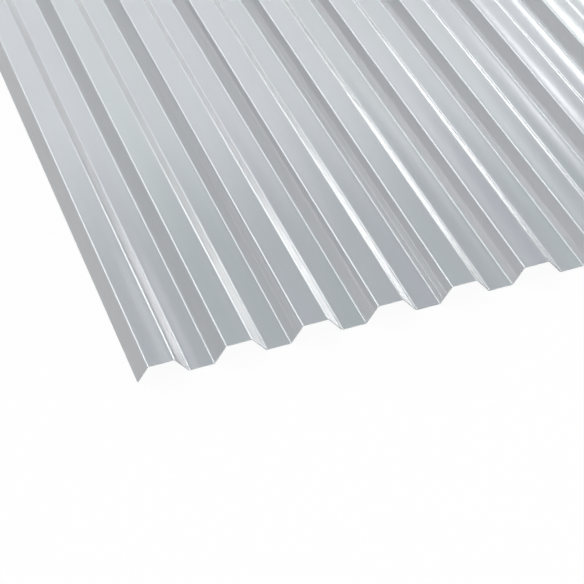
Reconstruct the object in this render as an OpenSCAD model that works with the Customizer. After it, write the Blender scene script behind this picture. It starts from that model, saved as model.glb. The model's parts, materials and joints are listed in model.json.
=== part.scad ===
// Clear polycarbonate roof sheet with trapezoidal waves.
// One extruded sheet of even wall. Its section is a row of folds, each a true arc between a flat
// and a slope: two folds over every crest and two under every valley, repeated at the pitch.
// Each side edge ends on a slope that stops short of valley level, so that the next sheet laps it.
// X runs across the waves, Y along the sheet and Z up. The origin is at the middle of the
// underside, on the plane that the valleys rest on.

/* [Sheet] */
// Length along the waves
sheet_len = 2000; // [500:50:4000]
// Thickness of the wall
wall = 0.8; // [0.6:0.1:1.5]
// Number of crests side by side
crests = 14; // [2:1:17]

/* [Wave] */
// Distance from one crest to the next
pitch = 76; // [68:1:100]
// Overall height, from the underside of a valley to the top of a crest
wave_h = 18; // [12:0.5:26]
// Width of a crest between its two fold lines
crest_w = 25.5; // [16:0.5:32]
// Width across one slope, from the fold line above it to the one below
slope_run = 12.9; // [9:0.1:16]
// Inner radius of every bend
bend_r = 1.8; // [0.8:0.1:2.4]

/* [Side edges] */
// Height by which a side edge stops short of the valleys
edge_lift = 2; // [0.5:0.1:6]

/* [Hidden] */
$fn = 96;

// The fold lines lie on the wall's middle surface: crests at crest_z, valleys at valley_z
valley_z = wall / 2;
crest_z = wave_h - wall / 2;
rise = crest_z - valley_z;
valley_w = pitch - crest_w - 2 * slope_run;
slope_angle = atan2(rise, slope_run);
slope_len = norm([slope_run, rise]);

// A bend takes this much off the straight stretch on each side of its fold line
setback = (bend_r + wall / 2) * tan(slope_angle / 2);
half_crest = crest_w / 2 - setback;
half_valley = valley_w / 2 - setback;
// Half slopes run past the middle of the slope and overlap there, so that they join
half_slope = slope_len / 2 - setback + wall;
edge_slope = (rise - edge_lift) / sin(slope_angle) - setback;

first_crest = -(crests - 1) / 2 * pitch;
first_valley = first_crest + pitch / 2;

// One bend, with the flat that leads to it along +X and the slope that falls from it.
// The flat starts at [0, 0] on the middle line of the wall.
module fold(flat, slope) {
    reach = 2 * (bend_r + wall);
    translate([0, -wall / 2]) square([flat, wall]);
    // Everything past the flat is placed from the bend's centre
    translate([flat, -bend_r - wall / 2]) {
        intersection() {
            difference() {
                circle(r = bend_r + wall);
                circle(r = bend_r);
            }
            square(reach);
            rotate(-slope_angle) translate([-reach, 0]) square(reach);
        }
        rotate(-slope_angle) translate([0, bend_r]) square([slope, wall]);
    }
}

// A crest around [0, 0], with the length of the straight part of the slope on each side
module crest(left_slope, right_slope) {
    mirror([1, 0]) fold(half_crest, left_slope);
    fold(half_crest, right_slope);
}

// A valley around [0, 0], with the lower half of the slope on each side
module valley() {
    mirror([0, 1]) {
        mirror([1, 0]) fold(half_valley, half_slope);
        fold(half_valley, half_slope);
    }
}

// Cross-section of the whole sheet, with x across it and y up
module section() {
    for (i = [0 : crests - 1])
        translate([first_crest + i * pitch, crest_z])
            crest(
                i == 0 ? edge_slope : half_slope,
                i == crests - 1 ? edge_slope : half_slope
            );
    for (i = [0 : crests - 2])
        translate([first_valley + i * pitch, valley_z]) valley();
}

module roof_sheet() {
    color([0.80, 0.83, 0.85, 0.6])
        rotate([90, 0, 0])
            linear_extrude(height = sheet_len, center = true)
                section();
}

roof_sheet();
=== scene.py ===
"""A clear polycarbonate roof sheet on a white studio floor.

The sheet is worked out again here as one fine closed surface: its section is walked in short steps
and carried along the sheet, so that every bend is round and catches one thin line of light.
Lengths are in metres, angles in degrees, and directions are given as an azimuth, 0 along +Y and
growing towards +X, with an elevation above the floor.
"""
import json
import math

import bpy
import numpy as np
from mathutils import Matrix, Vector


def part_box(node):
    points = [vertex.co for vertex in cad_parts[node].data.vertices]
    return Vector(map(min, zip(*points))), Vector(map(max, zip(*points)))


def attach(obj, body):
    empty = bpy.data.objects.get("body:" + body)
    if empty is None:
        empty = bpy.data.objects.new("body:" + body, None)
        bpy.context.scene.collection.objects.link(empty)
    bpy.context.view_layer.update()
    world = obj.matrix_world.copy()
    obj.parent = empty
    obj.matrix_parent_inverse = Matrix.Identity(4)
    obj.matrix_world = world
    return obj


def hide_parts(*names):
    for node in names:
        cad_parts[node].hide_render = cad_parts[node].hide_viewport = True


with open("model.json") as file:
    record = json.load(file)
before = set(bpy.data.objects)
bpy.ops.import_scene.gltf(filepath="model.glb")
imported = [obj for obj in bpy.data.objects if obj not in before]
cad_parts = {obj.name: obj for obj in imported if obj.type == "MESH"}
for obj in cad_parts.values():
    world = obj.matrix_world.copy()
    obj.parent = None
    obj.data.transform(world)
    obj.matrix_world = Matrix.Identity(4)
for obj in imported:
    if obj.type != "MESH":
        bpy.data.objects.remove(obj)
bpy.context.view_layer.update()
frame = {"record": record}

# ---------------------------------------------------------------- sizes of the sheet
NODE = "roof_sheet"
MOUNTS = {m["name"]: m["pos_m"] for m in frame["record"]["mounts"]}
LOW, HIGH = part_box(NODE)

WALL = MOUNTS["lap_crest_top"][2] - MOUNTS["lap_crest_underside"][2]
PITCH = 2 * MOUNTS["crest_top"][0]
FIRST_CREST = MOUNTS["lap_crest_top"][0]
CRESTS = round(1 - 2 * FIRST_CREST / PITCH)
RISE = HIGH.z - LOW.z - WALL            # between the middle surfaces of crest and valley
CREST_W = 0.0255                        # between the fold lines of a crest
SLOPE_RUN = 0.0129                      # across one slope
# Bend radii, of the wall's middle surface. A falling slope is one that goes down towards +X
BEND_R = 0.0011 + WALL / 2              # of every bend but the two of a falling slope
BROW_R = 0.0019 + WALL / 2              # at the top of a falling slope
FOOT_R = 0.0030 + WALL / 2              # at its foot

VALLEY_W = PITCH - CREST_W - 2 * SLOPE_RUN
SLOPE_TURN = math.atan2(RISE, SLOPE_RUN)
SETBACK = BEND_R * math.tan(SLOPE_TURN / 2)
BROW_SETBACK = BROW_R * math.tan(SLOPE_TURN / 2)
FOOT_SETBACK = FOOT_R * math.tan(SLOPE_TURN / 2)
SLOPE_LEN = math.hypot(RISE, SLOPE_RUN)  # between fold lines

# ---------------------------------------------------------------- marks of its making
SAG = 0.00016                           # how far the middle of a flat gives way inwards, on average
SAG_SHARES = (0.4, 1.6)                 # least and most of it on one flat
SAG_SEED = 5
DIE_LINE_W = 0.0002                     # spread of a die line's bell curve
DIE_LINE_H = 0.00008                    # how far a die line stands out
DIE_LINE_REACH = 3                      # spreads that are drawn on each side of it
# Places of the die lines as shares of a rising slope, by the crest before it, counted from 0
DIE_LINES = {1: (0.5,), 3: (0.24, 0.56)}

# ---------------------------------------------------------------- fineness of its mesh
BEND_STEPS = 10
FLAT_STEPS = 14
SLOPE_STEPS = 3
LENGTH_STEPS = 24
DIE_LINE_STEPS = 12


def stretch(length, steps, sag=0.0, lines=()):
    """A straight stretch of the section, in steps that don't turn, finer at its die lines.

    Its middle gives way by the sag, as sag * (1 - t * t) ** 2 with t from -1 to 1 along it, so it
    leaves and meets its bends without a kink. A die line stands out as a small bell curve at its
    share of the length. Columns: length, turn, height added, slope added.
    """
    along = np.linspace(0, length, steps + 1)
    bell = DIE_LINE_W * np.linspace(-DIE_LINE_REACH, DIE_LINE_REACH, DIE_LINE_STEPS + 1)
    along = np.unique(np.concatenate([along] + [share * length + bell for share in lines]))
    t = 2 * along[1:] / length - 1
    height = sag * (1 - t * t) ** 2
    slope = -4 * sag * t * (1 - t * t) / (length / 2)
    for share in lines:
        off = (along[1:] - share * length) / DIE_LINE_W
        raised = DIE_LINE_H * np.exp(-off * off / 2)
        height += raised
        slope -= raised * off / DIE_LINE_W
    return np.column_stack((np.diff(along), np.zeros(len(t)), height, slope))


def bend(turn, radius=BEND_R):
    """A round bend of the section: equal steps of arc, each turning by the same small angle."""
    share = turn / BEND_STEPS
    arc = np.full(BEND_STEPS, abs(share) * radius)
    none = np.zeros(BEND_STEPS)
    return np.column_stack((arc, np.full(BEND_STEPS, share), none, none))


def section_steps():
    """All steps of the section from the left side edge to the right one, one row each.

    A straight stretch is as long as the distance between its fold lines less the setback of the
    bend at each of its ends, which is the bend's radius times tan(turn / 2). Crests sag down and
    valleys up, each flat by its own amount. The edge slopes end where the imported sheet's box does.
    """
    sags = SAG * np.random.default_rng(SAG_SEED).uniform(*SAG_SHARES, 2 * CRESTS)
    fall = stretch(SLOPE_LEN - BROW_SETBACK - FOOT_SETBACK, SLOPE_STEPS)
    down, up = bend(-SLOPE_TURN), bend(SLOPE_TURN)
    brow, foot = bend(-SLOPE_TURN, BROW_R), bend(SLOPE_TURN, FOOT_R)
    run_out = -LOW.x + FIRST_CREST - CREST_W / 2 - WALL / 2 * math.sin(SLOPE_TURN)
    edge_len = run_out / math.cos(SLOPE_TURN)
    parts = [stretch(edge_len - SETBACK, SLOPE_STEPS), down]
    for i in range(CRESTS):
        parts += [stretch(CREST_W - SETBACK - BROW_SETBACK, FLAT_STEPS, -sags[2 * i]), brow]
        if i < CRESTS - 1:
            valley = stretch(VALLEY_W - SETBACK - FOOT_SETBACK, FLAT_STEPS, sags[2 * i + 1])
            climb = stretch(SLOPE_LEN - 2 * SETBACK, SLOPE_STEPS, lines=DIE_LINES.get(i, ()))
            parts += [fall, foot, valley, up, climb, down]
    return np.vstack(parts + [stretch(edge_len - BROW_SETBACK, SLOPE_STEPS)])


def section_line(steps):
    """Points of the wall's middle line and its upward normals, both as rows of x and z.

    A step that turns is an arc: its chord is the step's length times sin(turn / 2) / (turn / 2),
    and it points half-way through the turn. The chords are added up and the line is centred. The
    added heights move it along its normals last, and the normals lean by the added slope.
    """
    length, turn, height, lean = steps.T
    heading = SLOPE_TURN + np.concatenate(([0.0], np.cumsum(turn)))
    along = heading[:-1] + turn / 2
    chord = length * np.sinc(turn / 2 / math.pi)
    x = np.concatenate(([0.0], np.cumsum(chord * np.cos(along))))
    z = np.concatenate(([0.0], np.cumsum(chord * np.sin(along))))
    x -= (x[0] + x[-1]) / 2
    z += HIGH.z - WALL / 2 - z.max()
    x[1:] -= height * np.sin(heading[1:])
    z[1:] += height * np.cos(heading[1:])
    heading[1:] += np.arctan(lean)
    return np.column_stack((x, z)), np.column_stack((-np.sin(heading), np.cos(heading)))


def grid_faces(rows, columns, first, flip):
    """Four-sided faces between the points of a grid stored row after row from index first.

    The corners of a face are a point, the next one, and the same two in the next row.
    """
    corner = first + np.arange(rows - 1)[:, None] * columns + np.arange(columns - 1)
    ring = [corner, corner + 1, corner + columns + 1, corner + columns]
    if flip:
        ring.reverse()
    return np.stack(ring, axis=-1).reshape(-1, 4)


def sheet_mesh(name):
    """The closed wall of the sheet.

    The middle line is moved by half the wall along its normals, up for the top surface and down for
    the underside, and both are carried along Y. Strips of faces close the two sides and the ends.
    """
    steps = section_steps()
    line, normal = section_line(steps)
    y = np.linspace(LOW.y, HIGH.y, LENGTH_STEPS + 1)
    rows, columns = len(y), len(line)

    def surface(side):
        """One side of the wall: the middle line moved along its normals, once for each row."""
        moved = line + side * WALL / 2 * normal
        return np.stack(
            (
                np.broadcast_to(moved[:, 0], (rows, columns)),
                np.broadcast_to(y[:, None], (rows, columns)),
                np.broadcast_to(moved[:, 1], (rows, columns)),
            ),
            axis=-1,
        ).reshape(-1, 3)

    points = np.vstack((surface(1), surface(-1)))
    below = rows * columns
    top = grid_faces(rows, columns, 0, False)
    under = grid_faces(rows, columns, below, True)

    def strip(edge, flip):
        """Faces from an edge of the top surface down to the same edge of the underside."""
        a, b = edge[:-1], edge[1:]
        ring = [a, b, b + below, a + below]
        if flip:
            ring.reverse()
        return np.stack(ring, axis=-1)

    index = np.arange(below).reshape(rows, columns)
    rims = np.vstack(
        (
            strip(index[0], True),
            strip(index[-1], False),
            strip(index[:, 0], False),
            strip(index[:, -1], True),
        )
    )
    faces = np.vstack((top, under, rims))
    on_rim = np.arange(len(faces)) >= len(faces) - len(rims)
    mesh = bpy.data.meshes.new(name)
    mesh.vertices.add(len(points))
    mesh.vertices.foreach_set("co", points.ravel())
    mesh.loops.add(faces.size)
    mesh.loops.foreach_set("vertex_index", faces.ravel().astype(np.int32))
    mesh.polygons.add(len(faces))
    mesh.polygons.foreach_set("loop_start", np.arange(0, faces.size, 4, dtype=np.int32))
    mesh.polygons.foreach_set("material_index", on_rim.astype(np.int32))
    mesh.update(calc_edges=True)
    mesh.validate()

    # Wall faces take the exact normals of the arcs and flats, rim faces their own flat ones
    wall_normal = np.zeros((len(points), 3))
    wall_normal[:below, 0] = np.tile(normal[:, 0], rows)
    wall_normal[:below, 2] = np.tile(normal[:, 1], rows)
    wall_normal[below:] = -wall_normal[:below]
    corner_normal = wall_normal[faces.ravel()]
    rim_points = points[rims]
    rim_normal = np.cross(rim_points[:, 1] - rim_points[:, 0], rim_points[:, 2] - rim_points[:, 1])
    rim_normal /= np.linalg.norm(rim_normal, axis=1)[:, None]
    corner_normal[-rims.size:] = np.repeat(rim_normal, 4, axis=0)
    mesh.normals_split_custom_set(corner_normal.tolist())
    return mesh


def put_in_scene(name, data):
    """An object that shows this mesh or camera, at the origin of the scene."""
    obj = bpy.data.objects.new(name, data)
    bpy.context.scene.collection.objects.link(obj)
    return obj


# ---------------------------------------------------------------- nodes
def calc(nodes, links, kind, *values):
    """The output of a Math node of this kind on the values, each a number or another output."""
    node = nodes.new("ShaderNodeMath")
    node.operation = kind
    for socket, value in zip(node.inputs, values):
        if isinstance(value, (int, float)):
            socket.default_value = value
        else:
            links.new(value, socket)
    return node.outputs[0]


def mix_shaders(nodes, links, share, first, second):
    """The output of a Mix Shader: the first shader, and the second one by the share."""
    node = nodes.new("ShaderNodeMixShader")
    for socket, value in zip(node.inputs, (share, first, second)):
        links.new(value, socket)
    return node.outputs[0]


def blend_colours(nodes, links, share, first, second):
    """The output of a colour mix: the first, a colour or another output, and the second by the share."""
    node = nodes.new("ShaderNodeMix")
    node.data_type = "RGBA"
    if isinstance(first, tuple):
        node.inputs["A"].default_value = (*first, 1)
    else:
        links.new(first, node.inputs["A"])
    node.inputs["B"].default_value = (*second, 1)
    links.new(share, node.inputs["Factor"])
    return node.outputs["Result"]


# ---------------------------------------------------------------- finishes
# Heights of the mask that paints shade on the slopes: where it starts and where it is full
FOLD_CLEAR = 0.0004         # up to this far from a crest's or valley's height nothing is slope
SLOPE_CLEAR = 0.0024        # and from this far on everything is
# Broad streaks carry the painted reflection on the sheet, fine streaks its roughness and bump
NOISES = {"Broad": (38, 1.0), "Fine": (420, 2.0)}   # scale and detail of each kind of streak
NOISE_SPAN = (0.3, 0.7)     # the part of the noise's range that is spread over 0 to 1
GRAIN_HEIGHT = 0.0001       # of the fine streaks, in bump
PLASTIC_IOR = 1.585         # of polycarbonate
BODY_IOR = 1.3              # lower under the glossy skin, which has the full one
LIGHT_THROUGH = (0.76, 0.77, 0.78, 1)               # tint of lamp light at each surface


def new_material(name):
    """An empty node material, its nodes, its links and its output node."""
    material = bpy.data.materials.new(name)
    material.use_nodes = True
    nodes = material.node_tree.nodes
    nodes.clear()
    out = nodes.new("ShaderNodeOutputMaterial")
    return material, nodes, material.node_tree.links, out


def streaks_and_painted_light():
    """A node group of soft streaks that run the length of the sheet, as drawing it out leaves them.

    Object coordinates are squeezed along Y, so that the noise on them stretches into streaks.
    Broad streaks are a painted reflection: where they lie, the sheet is painted a little bluer, in
    place of soft streaks of studio light reflected along its flats. Fine ones tell where the plastic
    is a little duller or raised. Slopes is 1 at the heights between crest and valley and fades to 0
    at the folds; there the sheet is painted a more neutral and darker grey, a painted shade for how
    the slopes catch the light. Outer is the same on the two outermost slopes, and 0 elsewhere; there
    the sheet is painted darker still, a painted shade against the light of the open floor beside them.
    """
    group = bpy.data.node_groups.new("streaks_and_painted_light", "ShaderNodeTree")
    group.interface.new_socket("Stretch", in_out="INPUT", socket_type="NodeSocketFloat")
    for name in ("Slopes", "Outer", *NOISES):
        group.interface.new_socket(name, in_out="OUTPUT", socket_type="NodeSocketFloat")
    nodes, links = group.nodes, group.links
    inside = nodes.new("NodeGroupInput")
    out = nodes.new("NodeGroupOutput")
    coord = nodes.new("ShaderNodeTexCoord")

    squeeze = nodes.new("ShaderNodeCombineXYZ")
    squeeze.inputs["X"].default_value = 1
    squeeze.inputs["Z"].default_value = 1
    links.new(inside.outputs["Stretch"], squeeze.inputs["Y"])
    place = nodes.new("ShaderNodeVectorMath")
    place.operation = "MULTIPLY"
    links.new(coord.outputs["Object"], place.inputs[0])
    links.new(squeeze.outputs[0], place.inputs[1])
    for name, (scale, detail) in NOISES.items():
        noise = nodes.new("ShaderNodeTexNoise")
        noise.inputs["Scale"].default_value = scale
        noise.inputs["Detail"].default_value = detail
        links.new(place.outputs[0], noise.inputs["Vector"])
        spread = nodes.new("ShaderNodeMapRange")
        spread.inputs["From Min"].default_value = NOISE_SPAN[0]
        spread.inputs["From Max"].default_value = NOISE_SPAN[1]
        links.new(noise.outputs["Fac"], spread.inputs["Value"])
        links.new(spread.outputs[0], out.inputs[name])

    apart = nodes.new("ShaderNodeSeparateXYZ")
    links.new(coord.outputs["Object"], apart.inputs[0])
    above = calc(nodes, links, "SUBTRACT", apart.outputs["Z"], (LOW.z + HIGH.z) / 2)
    slopes = nodes.new("ShaderNodeMapRange")
    slopes.inputs["From Min"].default_value = RISE / 2 - FOLD_CLEAR
    slopes.inputs["From Max"].default_value = RISE / 2 - SLOPE_CLEAR
    links.new(calc(nodes, links, "ABSOLUTE", above), slopes.inputs["Value"])
    links.new(slopes.outputs[0], out.inputs["Slopes"])
    # The two outermost slopes, which take the darker painted shade on the sheet
    aside = calc(nodes, links, "ABSOLUTE", apart.outputs["X"])
    beyond = calc(nodes, links, "GREATER_THAN", aside, -FIRST_CREST + CREST_W / 2)
    links.new(calc(nodes, links, "MULTIPLY", beyond, slopes.outputs[0]), out.inputs["Outer"])
    return group


def streaked_plastic(nodes, links, streaks, colours, squeeze, roughness, bump):
    """A Principled shader whose colour, roughness and bump follow the streaks.

    Of the four colours the broad streaks blend the first two, the slopes take the third, and the
    two outermost slopes take the fourth. Roughness runs from its first value to its second with
    the fine streaks. The squeeze is what lengths along Y are multiplied by: the smaller it is, the
    longer the streaks.
    """
    body = nodes.new("ShaderNodeBsdfPrincipled")
    marks = nodes.new("ShaderNodeGroup")
    marks.node_tree = streaks
    marks.inputs["Stretch"].default_value = squeeze
    colour = colours[0]
    # On the sheet the later colours are painted reflection on the broad streaks and painted shade on the
    # slopes
    for mask, other in zip(("Broad", "Slopes", "Outer"), colours[1:]):
        colour = blend_colours(nodes, links, marks.outputs[mask], colour, other)
    links.new(colour, body.inputs["Base Color"])
    dull = nodes.new("ShaderNodeMapRange")
    dull.inputs["To Min"].default_value = roughness[0]
    dull.inputs["To Max"].default_value = roughness[1]
    links.new(marks.outputs["Fine"], dull.inputs["Value"])
    links.new(dull.outputs[0], body.inputs["Roughness"])
    raised = nodes.new("ShaderNodeBump")
    raised.inputs["Strength"].default_value = bump
    raised.inputs["Distance"].default_value = GRAIN_HEIGHT
    links.new(marks.outputs["Fine"], raised.inputs["Height"])
    links.new(raised.outputs["Normal"], body.inputs["Normal"])
    return body


def clear_polycarbonate(streaks):
    """Clear grey plastic with a glossy skin over a slightly satin body.

    Lamp light passes through it, tinted at each of the wall's two surfaces: to diffuse rays and
    shadow rays it is a tinted Transparent, to all others the plastic.
    """
    material, nodes, links, out = new_material("clear_polycarbonate")
    # Base tint; bluer tint of the painted reflection streaks; more neutral, darker grey of the painted
    # shade on the slopes; darker grey of the painted shade on the two outermost slopes
    colours = (
        (0.436, 0.486, 0.497),
        (0.455, 0.483, 0.525),
        (0.441, 0.455, 0.474),
        (0.388, 0.400, 0.416),
    )
    body = streaked_plastic(
        nodes, links, streaks, colours, squeeze=0.03, roughness=(0.278, 0.3), bump=0.04
    )
    body.inputs["IOR"].default_value = BODY_IOR
    body.inputs["Transmission Weight"].default_value = 1.0
    body.inputs["Coat Weight"].default_value = 1.0
    body.inputs["Coat Roughness"].default_value = 0.05
    body.inputs["Coat IOR"].default_value = PLASTIC_IOR
    tint = nodes.new("ShaderNodeBsdfTransparent")
    tint.inputs["Color"].default_value = LIGHT_THROUGH
    path = nodes.new("ShaderNodeLightPath")
    surface = body.outputs[0]
    for ray in ("Is Diffuse Ray", "Is Shadow Ray"):
        surface = mix_shaders(nodes, links, path.outputs[ray], surface, tint.outputs[0])
    links.new(surface, out.inputs["Surface"])
    return material


def cut_edge(streaks):
    """The sawn edges: the same plastic, cloudy and dull, with marks across the wall."""
    material, nodes, links, out = new_material("cut_edge")
    colours = ((0.50, 0.52, 0.53), (0.60, 0.62, 0.63), (0.56, 0.58, 0.59), (0.53, 0.55, 0.56))
    body = streaked_plastic(
        nodes, links, streaks, colours, squeeze=1.0, roughness=(0.42, 0.55), bump=0.3
    )
    body.inputs["IOR"].default_value = PLASTIC_IOR
    body.inputs["Transmission Weight"].default_value = 0.45
    links.new(body.outputs[0], out.inputs["Surface"])
    return material


def white_floor():
    """Matt white paint, which is mostly plain white as it is seen and keeps a faint shadow.

    The share of plain white is a fixed one for rays from the camera, off a mirror or through the
    sheet, and none for the others.
    """
    material, nodes, links, out = new_material("white_floor")
    paint = nodes.new("ShaderNodeBsdfDiffuse")
    paint.inputs["Color"].default_value = (0.95, 0.95, 0.95, 1)
    plain = nodes.new("ShaderNodeEmission")
    plain.inputs["Strength"].default_value = 1
    path = nodes.new("ShaderNodeLightPath")
    seen = path.outputs["Is Camera Ray"]
    for ray in ("Is Glossy Ray", "Is Transmission Ray"):
        seen = calc(nodes, links, "MAXIMUM", seen, path.outputs[ray])
    share = calc(nodes, links, "MULTIPLY", seen, FLOOR_PLAIN)
    surface = mix_shaders(nodes, links, share, paint.outputs[0], plain.outputs[0])
    links.new(surface, out.inputs["Surface"])
    return material


# ---------------------------------------------------------------- studio
CAMERA_AT = Vector((-0.7772, -2.3129, 1.1900))
CAMERA_AZIMUTH = 17.47
CAMERA_DROP = 39.34
CAMERA_ROLL = 3.21
CAMERA_LENS = 118.8
FLOOR_PLAIN = 0.9           # share of plain white in the floor as it is seen
FLOOR_HALF = 40.0           # from the middle of the floor to its sides
FLOOR_GAP = 0.0004          # between the floor and the sheet's underside


def place_camera():
    """The camera looks along an azimuth and down by an angle, and leans by a small roll."""
    data = bpy.data.cameras.new("camera")
    data.lens = CAMERA_LENS
    data.clip_start, data.clip_end = 0.1, 200
    camera = put_in_scene("camera", data)
    turn = Matrix.Rotation(math.radians(-CAMERA_AZIMUTH), 4, "Z")
    tilt = Matrix.Rotation(math.radians(90 - CAMERA_DROP), 4, "X")
    roll = Matrix.Rotation(math.radians(-CAMERA_ROLL), 4, "Z")
    camera.matrix_world = Matrix.Translation(CAMERA_AT) @ turn @ tilt @ roll
    bpy.context.scene.camera = camera


def make_floor():
    """A wide square floor, just clear of the sheet."""
    corners = [
        (x * FLOOR_HALF, y * FLOOR_HALF, -FLOOR_GAP)
        for x, y in ((-1, -1), (1, -1), (1, 1), (-1, 1))
    ]
    mesh = bpy.data.meshes.new("floor")
    mesh.from_pydata(corners, [], [(0, 1, 2, 3)])
    floor = put_in_scene("floor", mesh)
    floor.data.materials.append(white_floor())


# Softboxes, each a soft-edged rectangle of light seen from the sheet: azimuth and elevation of its
# middle, width, height, lean to the right, width of its soft rim, and strength
BASE_LIGHT = 0.05
SOFTBOXES = {
    "overhead": (10, 89, 133, 57, 0, 14, 0.54),
    "back_wall": (-160, 0, 220, 80, 0, 20, 0.9),
    "right_wall": (64, 22.3, 58, 46, 0, 7, 0.52),
    "far_strip": (33.3, 27.3, 11.4, 5.4, -35.2, 3.2, 5.9),
    "low_right": (39.2, 11.5, 7, 19.6, 0, 5, 7.2),
    "far_glow": (20.4, 20.7, 29, 29.4, -6, 5, 1.6),
    "left_glow": (6, 42.5, 8.2, 8, 0, 3, 0.7),
    "left": (-21.5, 37.5, 41, 22.4, -2, 4.2, 4.4),
    "low_left": (-42.5, 25, 29.6, 14, 0, 6, 4.6),
}


def softbox_axes(azimuth, elevation, lean):
    """The direction of a softbox's middle, and its own right and up.

    Level right is square to the azimuth and up is square to both; the lean turns the two of them
    around the middle.
    """
    a, e, r = (math.radians(v) for v in (azimuth, elevation, lean))
    middle = Vector((math.sin(a) * math.cos(e), math.cos(a) * math.cos(e), math.sin(e)))
    right = Vector((math.cos(a), -math.sin(a), 0))
    up = right.cross(middle)
    return middle, math.cos(r) * right + math.sin(r) * up, math.cos(r) * up - math.sin(r) * right


def make_world():
    """Softboxes given by direction, and plain white where the camera looks past the floor.

    A direction's place on a softbox is the angle it lies to its right and the angle above its
    middle; the light fades by a smooth step across the rim on all four sides.
    """
    world = bpy.data.worlds.new("studio")
    bpy.context.scene.world = world
    world.use_nodes = True
    nodes, links = world.node_tree.nodes, world.node_tree.links
    nodes.clear()
    coord = nodes.new("ShaderNodeTexCoord")

    def towards(axis):
        """How far the seen direction goes along an axis, as their dot product."""
        node = nodes.new("ShaderNodeVectorMath")
        node.operation = "DOT_PRODUCT"
        links.new(coord.outputs["Generated"], node.inputs[0])
        node.inputs[1].default_value = axis
        return node.outputs["Value"]

    def within(angle, size, soft):
        """1 inside the size, 0 outside it, and a smooth step across the soft rim between them."""
        degrees = calc(nodes, links, "DEGREES", angle)
        node = nodes.new("ShaderNodeMapRange")
        node.interpolation_type = "SMOOTHSTEP"
        links.new(calc(nodes, links, "ABSOLUTE", degrees), node.inputs["Value"])
        node.inputs["From Min"].default_value = (size + soft) / 2
        node.inputs["From Max"].default_value = (size - soft) / 2
        return node.outputs[0]

    total = BASE_LIGHT
    for azimuth, elevation, width, height, lean, soft, strength in SOFTBOXES.values():
        middle, right, up = softbox_axes(azimuth, elevation, lean)
        aside = calc(nodes, links, "ARCTAN2", towards(right), towards(middle))
        above = calc(nodes, links, "ARCSINE", towards(up))
        lit = calc(nodes, links, "MULTIPLY", within(aside, width, soft), within(above, height, soft))
        total = calc(nodes, links, "MULTIPLY_ADD", lit, strength, total)

    light = nodes.new("ShaderNodeBackground")
    light.inputs["Color"].default_value = (1, 1, 1, 1)
    links.new(total, light.inputs["Strength"])
    white = nodes.new("ShaderNodeBackground")
    white.inputs["Color"].default_value = (1, 1, 1, 1)
    ray = nodes.new("ShaderNodeLightPath").outputs["Is Camera Ray"]
    surface = mix_shaders(nodes, links, ray, light.outputs[0], white.outputs[0])
    out = nodes.new("ShaderNodeOutputWorld")
    links.new(surface, out.inputs["Surface"])


def main():
    """The camera, floor and lights, and the sheet with its two finishes."""
    scene = bpy.context.scene
    scene.view_settings.view_transform = "Standard"
    place_camera()
    make_floor()
    make_world()
    sheet = put_in_scene("sheet_wall", sheet_mesh("sheet_wall"))
    streaks = streaks_and_painted_light()
    sheet.data.materials.append(clear_polycarbonate(streaks))
    sheet.data.materials.append(cut_edge(streaks))
    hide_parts(NODE)
    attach(sheet, "root")


main()
bpy.context.view_layer.update()
